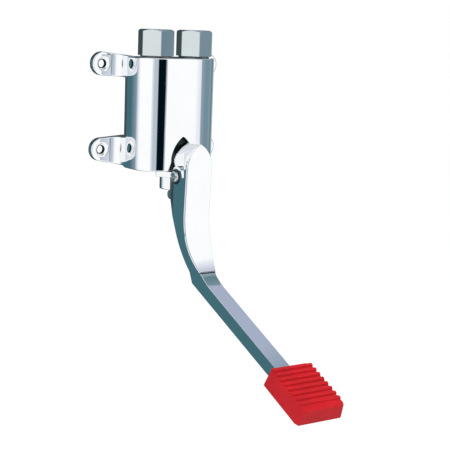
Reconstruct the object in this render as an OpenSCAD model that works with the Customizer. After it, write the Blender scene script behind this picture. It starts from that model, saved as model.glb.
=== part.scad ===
// Foot pedal tap valve for a wall.
// The wall is the plane y = 0 and the valve stands in front of it, towards -y.
// Outlines are drawn with their distance in front of the wall counted positive.
// The origin is the middle of the four wall screw holes.

/* [Body] */
// Height of the cast body
body_h = 94; // [88:1:104]
// Width of the cast body
body_w = 74; // [72:0.5:80]
// Top of the body above the middle of the screw holes
body_top = 43.3; // [40:0.1:46]
// Free space between the wall and the back of the body
wall_gap = 12.8; // [10:0.1:15]
// Distance between the inlet and outlet axes
port_spacing = 37.4; // [36.8:0.1:40]
// Distance from the wall to the inlet and outlet axes
port_reach = 36; // [34:0.5:40]
// Length of the flat sides behind the inlet and outlet axes
side_flat = 14; // [11:0.5:16]
// Radius of the round back corners
back_r = 17; // [12:0.5:20]
// Radius of the crowned front
crown_r = 120; // [110:5:150]
// Radius of the round front corners
corner_r = 15; // [14:0.5:16]
// Depth of the arch in the front of the body
arch_depth = 5.6; // [5.2:0.1:6.2]
// Wall left between the arch and the bonnet thread
arch_wall = 2.2; // [1.5:0.1:3]
// Diameter of the water ways below the unions
duct_d = 14; // [10:0.5:15]
// Diameter of the cross ducts to the valve chamber
cross_d = 9; // [6:0.5:10]

/* [Wall ears] */
// Distance between the screw holes across the wall
hole_spacing_x = 103.6; // [98:0.2:112]
// Distance between the screw holes up the wall
hole_spacing_z = 72.6; // [66:0.2:74]
// Radius of the rounded end of an ear
ear_r = 10; // [9:0.1:11]
// Thickness of an ear
ear_t = 6.8; // [5:0.1:8]
// Diameter of a wall screw hole
screw_hole_d = 6.5; // [5:0.1:7]
// Diameter of the countersink at the front of a screw hole
countersink_d = 11.5; // [9:0.1:13]
// Radius of the hollow blend between an ear and the side of the body
ear_blend_r = 8.5; // [5:0.1:10]
// How far a wall foot runs in behind the body
foot_in = 9; // [6:0.5:14]

/* [Unions] */
// Size across flats of the union hexagons
union_af = 27; // [25:0.1:29]
// Height of a union hexagon
union_h = 21.7; // [18:0.1:26]
// Core diameter of the female pipe thread
socket_d = 18.6; // [16:0.1:20]
// Depth of the female pipe thread
socket_depth = 15; // [11:0.5:16]
// Diameter of the union thread in the body
spigot_d = 20; // [18:0.1:21]
// Length of the union thread in the body
spigot_l = 10; // [7:0.5:12]
// Diameter of the water way through a union
union_bore_d = 13; // [10:0.1:14]
// Thickness of the union sealing washers
union_washer_t = 1.5; // [1:0.1:2.5]
// Outside diameter of the union sealing washers
union_washer_d = 26; // [24:0.1:26.5]

/* [Valve insert] */
// Diameter of the bore above the valve seat
upper_bore_d = 16; // [15.4:0.1:16.4]
// Diameter of the bore below the valve seat
lower_bore_d = 18; // [17:0.1:19]
// Height of the seat shoulder above the bottom of the body
seat_rise = 32; // [30:0.5:36]
// Height of the spring chamber above the seat shoulder
chamber_h = 32; // [29:0.5:38]
// Thickness of the seat ring
seat_t = 4; // [3:0.1:5]
// Height of the raised seat lip
seat_lip = 1; // [0.6:0.1:1.5]
// Diameter of the opening in the seat
seat_d = 11; // [10:0.1:11.5]
// Diameter of the spindle
spindle_d = 7; // [6:0.1:7.4]
// Diameter of the reduced ends of the spindle
spindle_end_d = 5; // [4:0.1:5.4]
// Diameter of the rubber valve disc
disc_d = 14.4; // [13.6:0.1:14.8]
// Thickness of the rubber valve disc
disc_t = 3; // [2:0.1:4]
// Thickness of the disc holder
holder_t = 2.5; // [2:0.1:3.5]
// Height of the disc nut
nut_h = 3.5; // [2.5:0.1:4]
// Size across flats of the disc nut
nut_af = 8; // [7:0.1:9]
// Wire diameter of the closing spring
closing_wire_d = 1.2; // [0.8:0.1:1.4]
// Mean diameter of the closing spring
closing_spring_d = 12.4; // [11.8:0.1:13]
// Turns of the closing spring
closing_turns = 7; // [5:1:9]

/* [Bonnet and plunger] */
// Size across flats of the bonnet
bonnet_af = 27; // [26:0.1:28]
// Thickness of the bonnet hexagon
bonnet_hex_t = 5.1; // [4.9:0.1:7]
// Diameter of the bonnet thread in the body
bonnet_thread_d = 21; // [20:0.1:21.4]
// Length of the bonnet thread in the body
bonnet_thread_l = 11; // [9:0.5:13]
// Thickness of the bonnet washer
bonnet_washer_t = 1.2; // [1:0.1:2]
// Outside diameter of the bonnet washer
bonnet_washer_d = 26; // [24:0.1:26.5]
// Section diameter of the spindle seal
seal_d = 1.8; // [1.4:0.1:2.2]
// Outside diameter of the plunger cap
cap_d = 20; // [19:0.1:20.2]
// Height of the plunger cap below the bonnet
cap_h = 10.8; // [9:0.1:13]
// Thickness of the plunger cap floor
cap_floor = 3; // [2.6:0.1:4]
// Thickness of the plunger cap wall
cap_wall = 1.8; // [1.2:0.1:2.2]
// Travel of the plunger from shut to open
plunger_stroke = 4.2; // [3.8:0.1:4.3]
// Wire diameter of the return spring
return_wire_d = 1.6; // [1.2:0.1:1.7]
// Mean diameter of the return spring
return_spring_d = 13.2; // [12:0.1:13.6]
// Turns of the return spring
return_turns = 4; // [3:0.5:5]

/* [Pivot] */
// Distance of the pivot in front of the body
pivot_out = 10.2; // [10:0.1:12]
// Distance of the pivot below the body
pivot_drop = 2.8; // [2.4:0.1:4]
// Radius of the round end of the pivot lug
lug_r = 8; // [7:0.1:8.4]
// Width of the pivot lug
lug_w = 9; // [7:0.1:10]
// Height of the root of the lug above the pivot
lug_rise = 14; // [11:0.1:15]
// Diameter of the pivot pin
pin_d = 6; // [5:0.1:7]
// Diameter of the pivot pin head
pin_head_d = 9; // [8:0.1:11]
// Thickness of the pivot pin head
pin_head_t = 2.6; // [1.8:0.1:3]
// Diameter of the pin washers
pin_washer_d = 13; // [11:0.1:15]
// Thickness of the pin washers
pin_washer_t = 1; // [0.8:0.1:1.6]
// Wall thickness of the pivot bush
bush_wall = 1.5; // [1:0.1:2]
// Thickness of the clip on the end of the pin
clip_t = 0.9; // [0.7:0.1:1.1]

/* [Lever] */
// Width of the lever face
face_w = 24.8; // [23:0.1:26]
// Width of the lever neck behind the face
neck_w = 18.4; // [17:0.1:20]
// Width of the neck where it meets the face
neck_front_w = 9.6; // [9:0.1:12]
// Distance of the lever face in front of the pivot
face_out = 14.5; // [13.8:0.1:16]
// How far the top of the face leans out in front
face_lean = 3; // [0:0.1:4]
// Height of the pointed top of the face above the pivot
face_rise = 28.8; // [27.6:0.1:31]
// Height above the pivot at which the face starts to close to its point
face_spring = 8.5; // [6:0.1:12]
// Height of the pointed top of the neck above the pivot
neck_rise = 27.3; // [25:0.1:28]
// Height above the pivot at which the neck starts to close to its point
neck_spring = 10.5; // [8:0.1:13]
// Thickness of the face plate in front of the neck
plate_t = 5; // [4:0.1:6]
// How far the neck reaches into the arch in the body
neck_in = 0.5; // [0.2:0.1:1.5]
// How far the cheeks reach in under the body
cheek_in = 3.5; // [2:0.1:3.6]
// Width of the cheeks at their back
cheek_back_w = 20.6; // [19:0.1:22]
// Length over which the cheeks narrow to their back
cheek_taper = 8.6; // [7:0.1:9]
// Radius of the round cheeks above the pin
cheek_r = 8.5; // [7.5:0.1:9]
// Distance from the pivot down to the start of the curve
curve_drop = 31.3; // [26:0.1:36]
// Radius of the curve from the face to the bar
curve_r = 59.5; // [54:0.5:66]
// Slope of the bar below level, in degrees
bar_slope = 24.25; // [21:0.25:27]
// Distance of the foot of the cheeks below the pivot
heel_drop = 16.5; // [15:0.1:19]
// Distance from the bend under the bar to the end of the curve
bend_back = 26; // [23:0.5:29]
// Width of the bar
bar_w = 14; // [12:0.1:16]
// Depth of the bar at the bend
bar_t = 13.5; // [12:0.1:15]
// Depth of the bar at the pad
bar_end_t = 12.3; // [11:0.1:13]
// Length of the straight bar up to the pad
bar_l = 107; // [90:1:130]
// Radius of the side curves that narrow the face
taper_r = 97; // [90:1:110]
// Distance from the pivot down to where the face starts to narrow
taper_drop = 46.5; // [43:0.5:50]
// Thickness of the raised tongue on the face
tongue_t = 1.3; // [0.8:0.1:2]
// Distance from the pivot down to the end of the tongue
tongue_drop = 75.5; // [70:0.5:78]
// Narrowing of the tongue inside the edge of the face
tongue_inset = 0.6; // [0.4:0.1:1.5]
// Radius of the heel nose that lifts the plunger
nose_r = 4; // [3:0.1:5]
// Width of the heel
heel_w = 10; // [7:0.1:13]
// Distance of the heel nose in front of the plunger axis
nose_offset = 6; // [4.5:0.1:7]

/* [Foot pad] */
// Width of the pad
pad_w = 40.6; // [38:0.2:46]
// Length of the pad
pad_l = 49.8; // [48:0.2:56]
// Height of the pad above the top of the bar, without ribs
pad_rise = 5.4; // [4:0.1:7]
// Depth of the pad below the top of the bar
pad_under = 8.2; // [7.6:0.1:10]
// Height of the ribs
rib_h = 1.9; // [1:0.1:3]
// Distance between the ribs
rib_pitch = 5.45; // [4.6:0.05:5.8]
// Number of ribs
rib_count = 8; // [5:1:8]
// Width of the cut corners at the bar end of the pad
pad_corner = 3.4; // [2:0.1:6]
// Width of the cast toe plate inside the pad
toe_w = 29; // [24:0.5:30]
// Length of the cast toe plate inside the pad
toe_l = 37; // [32:0.5:38]
// Thickness of the cast toe plate
toe_t = 4; // [3:0.1:4.6]

/* [Clearances] */
// Radial clearance of the lever on the pin and the spindle in its gland
running_gap = 0.05; // [0.02:0.01:0.1]
// Clearance of a piece seated in its own hole
seat_gap = 0.02; // [0.01:0.01:0.05]
// Clearance between pieces that move past each other
moving_gap = 0.35; // [0.3:0.05:0.5]
// Play between the heel and the plunger at rest
heel_play = 0.1; // [0.05:0.05:0.3]
// Clearance of the rubber pad round its plate
pad_gap = 0.1; // [0.05:0.05:0.3]
// Room round the lug in the lever
swing_gap = 0.8; // [0.6:0.1:1.2]
// Gap beside the neck in the arch of the body
arch_gap = 1.8; // [1:0.1:2.5]
// Gap over the neck in the arch of the body
arch_top_gap = 4.4; // [2:0.1:5]

/* [Hidden] */
$fn = 96;
cut = 1;

chrome = [0.80, 0.82, 0.84];
brass = [0.78, 0.62, 0.30];
steel = [0.62, 0.64, 0.66];
rubber = [0.10, 0.10, 0.10];
fibre = [0.42, 0.16, 0.12];
red = [0.82, 0.07, 0.11];
cream = [0.86, 0.84, 0.76];

// Body
body_bottom = body_top - body_h;
port_x = port_spacing / 2;
front_d = port_reach + body_w / 2 - port_x;
arch_floor = front_d - arch_depth;
chamber_d = arch_floor - arch_wall - bonnet_thread_d / 2;
hole_x = hole_spacing_x / 2;
hole_z = hole_spacing_z / 2;
foot_x = body_w / 2 - foot_in;
arm_depth = ear_t + ear_blend_r;
flat_d = port_reach - side_flat;
back_x = body_w / 2 - back_r;
corner_x = body_w / 2 - corner_r;
corner_stand = 0.006;
crown_d = front_d - crown_r;
corner_turn = asin(corner_x / (crown_r - corner_r + corner_stand));
corner_d = crown_d + (crown_r - corner_r + corner_stand) * cos(corner_turn);

// Valve insert, from the seat shoulder up
shoulder_z = body_bottom + seat_rise;
ceiling_z = shoulder_z + chamber_h;
disc_z = shoulder_z + seat_lip;
holder_z = disc_z + disc_t;
nut_z = holder_z + holder_t;
spindle_top = nut_z + nut_h + 0.5;
inlet_cross_z = ceiling_z - cross_d / 2 - 2;
outlet_cross_z = shoulder_z - seat_t - cross_d / 2 - 2;
duct_sump = 2;

// Unions
union_z = body_top + union_washer_t;
union_top = union_z + union_h;
spigot_hole_l = spigot_l + 1;
hex_chamfer = 30;
union_turn = 15;
ledge_r = (socket_d + union_bore_d) / 4;
ledge_t = 1.2;
ledge_z = union_top - socket_depth - ledge_t;

// Bonnet and plunger, from the bottom of the body down
bonnet_z = body_bottom - bonnet_washer_t;
bonnet_foot = bonnet_z - bonnet_hex_t;
bonnet_top = bonnet_z + bonnet_washer_t + bonnet_thread_l;
bonnet_hole_l = bonnet_thread_l + 1;
cap_top = bonnet_foot - 0.2;
cap_foot = cap_top - cap_h;
cap_ceiling = cap_top + plunger_stroke + moving_gap;
spring_seat_z = bonnet_z + 4;
spring_room = 0.6;
gland_r = spindle_d / 2 + running_gap;
seal_z = bonnet_top - 3.5;
seal_groove_h = seal_d + 0.4;
spindle_foot = cap_foot + cap_floor;

// Pivot and lever
pivot_d = front_d + pivot_out;
pivot_z = body_bottom - pivot_drop;
pivot = [pivot_d, pivot_z];
neck_back = front_d - neck_in;
cheek_back = front_d - cheek_in;
lug_foot = [arch_floor + 3, body_bottom];
lug_head = [arch_floor, pivot_z + lug_rise];
slot_hw = lug_w / 2 + moving_gap;
slot_top = lug_head.y + swing_gap;
face_d = pivot_d + face_out;
face_top = pivot_z + face_rise;
plate_back = face_d - plate_t + face_lean / 2;
curve_z = pivot_z - curve_drop;
curve_c = [face_d + curve_r, curve_z];
bar_dir = [cos(bar_slope), -sin(bar_slope)];
bar_up = [sin(bar_slope), cos(bar_slope)];
bar_start = curve_c - curve_r * bar_up;
bend = bar_start - bend_back * bar_dir - bar_t * bar_up;
heel_z = pivot_z - heel_drop;
taper_z = pivot_z - taper_drop;
tongue_end = pivot_z - tongue_drop;
nose = [chamber_d + nose_offset, cap_foot - heel_play - nose_r];
bush_r = pin_d / 2 + running_gap + bush_wall;
washer_x = face_w / 2 + pin_washer_t;
clip_x = washer_x + 0.2;
pin_end = clip_x + clip_t + 1.4;
groove_r = pin_d / 2 - 0.6;

// Foot pad, along and above the top of the bar
pad_end = bar_l + pad_l;
toe_start = bar_l + (pad_l - toe_l) / 2;
toe_end = toe_start + toe_l;
toe_foot = -tongue_t - toe_t;
keel_end = toe_end - 8;
rib_crest = rib_pitch * 0.55;
rib_foot = 0.4;
rib_row = (rib_count - 1) * rib_pitch + rib_crest + rib_foot;
rib_start = bar_l + (pad_l - rib_row) * 0.24;

// Stop buffer
buffer_r = 4;
buffer_stem_r = 2;
buffer_stem_l = 1.6;
buffer_z = slot_top + buffer_r + 1.5;

// Point where a line from q touches the circle of radius r round c, below it or above it
function touch(q, c, r, side) =
    let (v = c - q, l = norm(v), a = atan2(v.y, v.x) + side * asin(r / l))
    q + sqrt(l * l - r * r) * [cos(a), sin(a)];

// Outline across and up the wall, from distance d0 to d1 in front of it
module front_extrude(d0, d1) {
    translate([0, -d0, 0]) rotate([90, 0, 0]) linear_extrude(d1 - d0) children();
}

// Outline in front of and up the wall, from x0 to x1
module side_extrude(x0, x1) {
    translate([x0, 0, 0]) rotate([90, 0, 90]) linear_extrude(x1 - x0) mirror([1, 0]) children();
}

// Outline across and in front of the wall, from z0 to z1
module plan_extrude(z0, z1) {
    translate([0, 0, z0]) linear_extrude(z1 - z0) mirror([0, 1]) children();
}

// Cylinder along an upright axis
module post(x, d, r, z0, z1) {
    translate([x, -d, z0]) cylinder(r = r, h = z1 - z0);
}

// Cylinder along a level axis across the wall
module cross(d, z, r, x0, x1) {
    translate([x0, -d, z]) rotate([0, 90, 0]) cylinder(r = r, h = x1 - x0);
}

// Upright hexagon with a chamfered top
module hexagon(x, d, af, z0, z1, turn) {
    flat_r = af / 2;
    point_r = af / sqrt(3);
    drop = (point_r - flat_r + 0.4) * tan(hex_chamfer);
    translate([x, -d, 0]) intersection() {
        translate([0, 0, z0]) rotate(turn) cylinder(r = point_r, h = z1 - z0, $fn = 6);
        rotate_extrude() polygon([[0, z0 - cut], [point_r + cut, z0 - cut],
            [point_r + cut, z1 - drop - cut * tan(hex_chamfer)], [flat_r - 0.4, z1], [0, z1]]);
    }
}

// One unbroken coil of wire from z0 to z1, with its ends squared off by half a turn
module coil(x, d, mean_d, wire_d, turns, z0, z1) {
    sides = 6;
    rings = 8 * turns;
    rise = z1 - z0 - wire_d;
    centres = [for (i = [0:rings]) let (a = 360 * i / 8)
        [mean_d / 2 * cos(a), mean_d / 2 * sin(a), z0 + wire_d / 2 + rise * i / rings]];
    points = [for (i = [0:rings], k = [0:sides - 1]) let (a = 360 * i / 8, b = 360 * k / sides,
        r = mean_d / 2 + wire_d / 2 * cos(b))
        [r * cos(a), r * sin(a), centres[i].z + wire_d / 2 * sin(b)]];
    walls = [for (i = [0:rings - 1], k = [0:sides - 1]) let (n = (k + 1) % sides,
        a = i * sides + k, b = i * sides + n, c = a + sides, e = b + sides)
        each [[a, c, b], [b, c, e]]];
    first_end = [for (k = [1:sides - 2]) [0, k, k + 1]];
    base = rings * sides;
    last_end = [for (k = [1:sides - 2]) [base, base + k + 1, base + k]];
    gaps = [for (i = [0:rings - 8]) norm(centres[i + 8] - centres[i]) - wire_d];
    echo(least_gap = min(gaps));
    translate([x, -d, 0]) polyhedron(points, concat(walls, first_end, last_end));
}

// Slice of the crowned front between the two front corners
module crown_plan() {
    reach = crown_r + 4;
    root_d = port_reach - corner_r / 2;
    intersection() {
        translate([0, crown_d]) circle(r = crown_r);
        polygon([[-corner_x, root_d], [corner_x, root_d], [corner_x, corner_d],
            [reach * sin(corner_turn), crown_d + reach * cos(corner_turn)],
            [-reach * sin(corner_turn), crown_d + reach * cos(corner_turn)], [-corner_x, corner_d]]);
    }
}

// Plan of the body: crowned front, round corners, flat sides and wide round back corners cut at the wall gap
module body_plan() {
    for (s = [-1, 1]) translate([s * corner_x, corner_d]) circle(r = corner_r);
    crown_plan();
    translate([-body_w / 2, flat_d]) square([body_w, corner_d - flat_d]);
    intersection() {
        union() {
            for (s = [-1, 1]) translate([s * back_x, flat_d]) circle(r = back_r);
            translate([-back_x, 0]) square([2 * back_x, port_reach]);
        }
        translate([-body_w / 2, wall_gap]) square([body_w, port_reach - wall_gap]);
    }
}

// Front outline of the right hand arm at height z, which meets the body between low and high
module arm_front(z, low, high) {
    translate([hole_x, z]) circle(r = ear_r);
    polygon([[hole_x, z + ear_r], [hole_x, z - ear_r], [foot_x, low], [foot_x, high]]);
}

// Plan of the right hand arm: ear, hollow blend and the foot behind the body
module arm_plan() {
    blend_x = body_w / 2 + ear_blend_r;
    translate([foot_x, 0]) square([hole_x + ear_r - foot_x, ear_t]);
    translate([foot_x, 0]) square([body_w / 2 - foot_x, flat_d]);
    difference() {
        translate([body_w / 2, ear_t]) square(ear_blend_r);
        translate([blend_x, arm_depth]) circle(r = ear_blend_r);
    }
}

module wall_arm(z, low, high) {
    intersection() {
        front_extrude(0, max(arm_depth, flat_d)) arm_front(z, low, high);
        plan_extrude(min(low, z - ear_r) - cut, max(high, z + ear_r) + cut) arm_plan();
    }
}

module screw_hole(x, z) {
    sink = (countersink_d - screw_hole_d) / 2;
    front_extrude(-cut, ear_t + cut) translate([x, z]) circle(d = screw_hole_d);
    translate([x, -ear_t + sink, z]) rotate([90, 0, 0])
        cylinder(d1 = screw_hole_d, d2 = countersink_d, h = sink);
    front_extrude(ear_t, ear_t + 2 * cut) translate([x, z]) circle(d = countersink_d);
}

// Side outline of the pivot lug, with its round end round the pivot
module lug_side() {
    translate(pivot) circle(r = lug_r);
    polygon([[arch_floor - cut, body_bottom], lug_foot, touch(lug_foot, pivot, lug_r, -1), pivot,
        touch(lug_head, pivot, lug_r, 1), lug_head, lug_head - [cut, 0]]);
}

// Front outline of a pointed arch of half width hw, upright from low to spring and closing at top
module arch(hw, low, spring, top) {
    rise = top - spring;
    r = (hw * hw + rise * rise) / (2 * hw);
    intersection() {
        translate([r - hw, spring]) circle(r = r);
        translate([hw - r, spring]) circle(r = r);
        translate([-hw, spring]) square([2 * hw, rise + cut]);
    }
    translate([-hw, low]) square([2 * hw, spring - low]);
}

// Front outline of the arch in the body, which flares at the bottom edge
module body_arch() {
    hw = neck_w / 2 + arch_gap;
    spring = pivot_z + neck_spring;
    low = body_bottom - cut;
    flare = 2.8;
    arch(hw, low, spring, pivot_z + neck_rise + arch_top_gap);
    polygon([[-hw, spring], [-hw - flare, low], [hw + flare, low], [hw, spring]]);
}

module water_ways() {
    for (s = [-1, 1]) post(s * port_x, port_reach, spigot_d / 2, body_top - spigot_hole_l, body_top + cut);
    post(-port_x, port_reach, duct_d / 2, inlet_cross_z - cross_d / 2 - duct_sump, body_top);
    post(port_x, port_reach, duct_d / 2, outlet_cross_z - cross_d / 2 - duct_sump, body_top);
    cross(port_reach, inlet_cross_z, cross_d / 2, -port_x, 0);
    cross(port_reach, outlet_cross_z, cross_d / 2, 0, port_x);
    post(0, chamber_d, upper_bore_d / 2, shoulder_z - cut, ceiling_z);
    post(0, chamber_d, lower_bore_d / 2, body_bottom - cut, shoulder_z);
    post(0, chamber_d, bonnet_thread_d / 2, body_bottom - cut, body_bottom + bonnet_hole_l);
}

module valve_body() {
    color(chrome) difference() {
        union() {
            difference() {
                plan_extrude(body_bottom, body_top) body_plan();
                front_extrude(arch_floor, front_d + cut) body_arch();
            }
            for (s = [0, 1]) mirror([s, 0, 0]) {
                wall_arm(hole_z, hole_z - ear_r - 1, body_top);
                wall_arm(-hole_z, body_bottom, -hole_z + ear_r + 2);
            }
            side_extrude(-lug_w / 2, lug_w / 2) lug_side();
        }
        for (x = [-hole_x, hole_x], z = [-hole_z, hole_z]) screw_hole(x, z);
        water_ways();
        cross(pivot_d, pivot_z, bush_r + seat_gap, -lug_w, lug_w);
        front_extrude(arch_floor - buffer_stem_l, arch_floor + cut)
            translate([0, buffer_z]) circle(r = buffer_stem_r + seat_gap);
    }
}

module pipe_union(x) {
    color(chrome) difference() {
        union() {
            hexagon(x, port_reach, union_af, union_z, union_top, union_turn);
            post(x, port_reach, spigot_d / 2 - seat_gap, body_top - spigot_l, union_z + cut);
        }
        post(x, port_reach, socket_d / 2, union_top - socket_depth, union_top + cut);
        post(x, port_reach, ledge_r + seat_gap, ledge_z, union_top);
        post(x, port_reach, union_bore_d / 2, body_top - spigot_l - cut, union_top);
    }
}

module union_washer(x) {
    color(fibre) difference() {
        post(x, port_reach, union_washer_d / 2, body_top, union_z);
        post(x, port_reach, spigot_d / 2 + seat_gap, body_top - cut, union_z + cut);
    }
}

module inlet_union() { pipe_union(-port_x); }
module outlet_union() { pipe_union(port_x); }
module inlet_washer() { union_washer(-port_x); }
module outlet_washer() { union_washer(port_x); }

// Slotted cup that keeps grit out of the valve, hung from a rim on the union's inner ledge
module inlet_strainer() {
    rim_t = ledge_t - 0.2;
    cup_r = union_bore_d / 2 - seat_gap;
    cup_l = 14;
    wall = 0.8;
    slots = 8;
    color(steel) difference() {
        union() {
            post(-port_x, port_reach, ledge_r, ledge_z, ledge_z + rim_t);
            post(-port_x, port_reach, cup_r, ledge_z - cup_l, ledge_z + rim_t / 2);
        }
        post(-port_x, port_reach, cup_r - wall, ledge_z - cup_l + wall, ledge_z + rim_t + cut);
        for (k = [0:slots - 1]) translate([-port_x, -port_reach, ledge_z - cup_l + 2 * wall])
            rotate(360 * k / slots) translate([0, -0.4, 0]) cube([cup_r + cut, 0.8, cup_l - 5 * wall]);
    }
}

module seat_ring() {
    lip_r = seat_d / 2 + 1.1;
    color(brass) difference() {
        union() {
            post(0, chamber_d, lower_bore_d / 2 - seat_gap, shoulder_z - seat_t, shoulder_z);
            post(0, chamber_d, lip_r, shoulder_z - cut, disc_z);
        }
        post(0, chamber_d, seat_d / 2, shoulder_z - seat_t - cut, disc_z + cut);
    }
}

module closing_spring() {
    color(steel) coil(0, chamber_d, closing_spring_d, closing_wire_d, closing_turns, nut_z, ceiling_z);
}

module disc_nut() {
    color(brass) difference() {
        hexagon(0, chamber_d, nut_af, nut_z, nut_z + nut_h, 0);
        post(0, chamber_d, spindle_end_d / 2 + seat_gap, nut_z - cut, nut_z + nut_h + cut);
    }
}

module disc_holder() {
    color(brass) difference() {
        post(0, chamber_d, disc_d / 2 + 0.2, holder_z, nut_z);
        post(0, chamber_d, spindle_end_d / 2 + seat_gap, holder_z - cut, nut_z + cut);
    }
}

module valve_disc() {
    color(rubber) difference() {
        post(0, chamber_d, disc_d / 2, disc_z, holder_z);
        post(0, chamber_d, spindle_end_d / 2 + seat_gap, disc_z - cut, holder_z + cut);
    }
}

module spindle() {
    color(brass) {
        post(0, chamber_d, spindle_d / 2, spindle_foot, disc_z);
        post(0, chamber_d, spindle_end_d / 2, disc_z - cut, spindle_top);
        post(0, chamber_d, spindle_end_d / 2, spindle_foot - cap_floor / 2, spindle_foot + cut);
    }
}

module spindle_seal() {
    color(rubber) translate([0, -chamber_d, seal_z]) rotate_extrude()
        translate([gland_r + seal_d / 2, 0]) circle(d = seal_d);
}

module bonnet() {
    color(chrome) difference() {
        union() {
            translate([0, -chamber_d, bonnet_foot])
                cylinder(d = bonnet_af * 2 / sqrt(3), h = bonnet_hex_t, $fn = 6);
            post(0, chamber_d, bonnet_thread_d / 2 - seat_gap, bonnet_z - cut, bonnet_top);
        }
        post(0, chamber_d, gland_r, bonnet_foot - cut, bonnet_top + cut);
        post(0, chamber_d, cap_d / 2 + moving_gap, bonnet_foot - cut, cap_ceiling);
        post(0, chamber_d, (return_spring_d + return_wire_d) / 2 + spring_room, bonnet_foot, spring_seat_z);
        post(0, chamber_d, gland_r + seal_d + seat_gap, seal_z - seal_groove_h / 2,
            seal_z + seal_groove_h / 2);
    }
}

module bonnet_washer() {
    color(fibre) difference() {
        post(0, chamber_d, bonnet_washer_d / 2, bonnet_z, body_bottom);
        post(0, chamber_d, bonnet_thread_d / 2 + seat_gap, bonnet_z - cut, body_bottom + cut);
    }
}

module return_spring() {
    color(steel) coil(0, chamber_d, return_spring_d, return_wire_d, return_turns,
        spindle_foot, spring_seat_z);
}

module plunger_cap() {
    edge = 1.2;
    rim_r = cap_d / 2;
    color(chrome) difference() {
        translate([0, -chamber_d, 0]) rotate_extrude() {
            polygon([[0, cap_foot], [rim_r - edge, cap_foot], [rim_r - edge, cap_foot + edge],
                [rim_r, cap_foot + edge], [rim_r, cap_top], [0, cap_top]]);
            intersection() {
                translate([rim_r - edge, cap_foot + edge]) circle(r = edge);
                translate([rim_r - edge, cap_foot]) square(edge);
            }
        }
        post(0, chamber_d, rim_r - cap_wall, spindle_foot, cap_top + cut);
        post(0, chamber_d, spindle_end_d / 2 + seat_gap, spindle_foot - cap_floor / 2, spindle_foot + cut);
    }
}

// Headed pin with a driver slot, and a groove for its clip at the far end
module pivot_pin() {
    head_x = -washer_x - pin_head_t;
    edge = 0.6;
    head_r = pin_head_d / 2;
    color(steel) difference() {
        translate([head_x, -pivot_d, pivot_z]) rotate([0, 90, 0]) rotate_extrude()
            polygon([[0, 0], [head_r - edge, 0], [head_r, edge], [head_r, pin_head_t],
                [pin_d / 2, pin_head_t], [pin_d / 2, pin_end - head_x], [0, pin_end - head_x]]);
        difference() {
            cross(pivot_d, pivot_z, pin_d, clip_x - seat_gap, clip_x + clip_t + seat_gap);
            cross(pivot_d, pivot_z, groove_r, clip_x - cut, clip_x + clip_t + cut);
        }
        translate([head_x - cut, -pivot_d - head_r, pivot_z - 0.6]) cube([cut + 1, pin_head_d, 1.2]);
    }
}

// Flat washers outside the two cheeks
module pin_washers() {
    color(steel) for (s = [0, 1]) mirror([s, 0, 0]) difference() {
        cross(pivot_d, pivot_z, pin_washer_d / 2, face_w / 2, washer_x);
        cross(pivot_d, pivot_z, pin_d / 2 + seat_gap, face_w / 2 - cut, washer_x + cut);
    }
}

// Open spring clip in the groove at the end of the pin
module pin_clip() {
    color(steel) difference() {
        cross(pivot_d, pivot_z, pin_head_d / 2, clip_x, clip_x + clip_t);
        cross(pivot_d, pivot_z, groove_r + seat_gap, clip_x - cut, clip_x + clip_t + cut);
        translate([clip_x - cut, -pivot_d - groove_r + 0.2, pivot_z - pin_head_d])
            cube([clip_t + 2 * cut, 2 * groove_r - 0.4, pin_head_d]);
    }
}

module pivot_bush() {
    color(cream) difference() {
        cross(pivot_d, pivot_z, bush_r, -lug_w / 2, lug_w / 2);
        cross(pivot_d, pivot_z, pin_d / 2 + running_gap, -lug_w, lug_w);
    }
}

// Rubber button on the floor of the arch, on which the neck rests
module stop_buffer() {
    color(rubber) {
        front_extrude(arch_floor, neck_back - moving_gap) translate([0, buffer_z]) circle(r = buffer_r);
        front_extrude(arch_floor - buffer_stem_l, arch_floor + cut) translate([0, buffer_z])
            circle(r = buffer_stem_r);
    }
}

// Side outline of the lever from its top to the bend, set back from the tongue by inset
module lever_side(inset) {
    difference() {
        polygon([[face_d + face_lean - inset, face_top + cut], [face_d - inset, curve_z], curve_c,
            bar_start - inset * bar_up, bend, [cheek_back, heel_z], [cheek_back, face_top + cut]]);
        translate(curve_c) circle(r = curve_r + inset);
    }
}

// Front outline of the lever face, pointed at the top and narrowing on both sides to the bar
module face_front(half_w, top, low) {
    lens_x = taper_r - half_w;
    arch(half_w, taper_z, pivot_z + face_spring, top);
    intersection() {
        translate([lens_x, taper_z]) circle(r = taper_r);
        translate([-lens_x, taper_z]) circle(r = taper_r);
        translate([-half_w, low]) square([2 * half_w, taper_z - low]);
    }
}

// Side outline of the slot in the lever that holds the lug of the body
module slot_side() {
    r = lug_r + swing_gap;
    translate(pivot) circle(r = r);
    translate([cheek_back - cut, pivot_z - r])
        square([pivot_d - cheek_back + cut + r / 2, slot_top - pivot_z + r]);
}

// Plan of the cheeks, which narrow to their back
module cheek_plan() {
    hw = face_w / 2;
    back_hw = cheek_back_w / 2;
    full_d = cheek_back + cheek_taper;
    polygon([[-back_hw, cheek_back], [-hw, full_d], [-hw, bar_start.x], [hw, bar_start.x], [hw, full_d],
        [back_hw, cheek_back]]);
}

// Plan of the neck, which widens from the face to the body
module neck_plan() {
    hw = neck_w / 2;
    front_hw = neck_front_w / 2;
    polygon([[-hw, neck_back], [-front_hw, plate_back + cut], [front_hw, plate_back + cut], [hw, neck_back]]);
}

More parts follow.
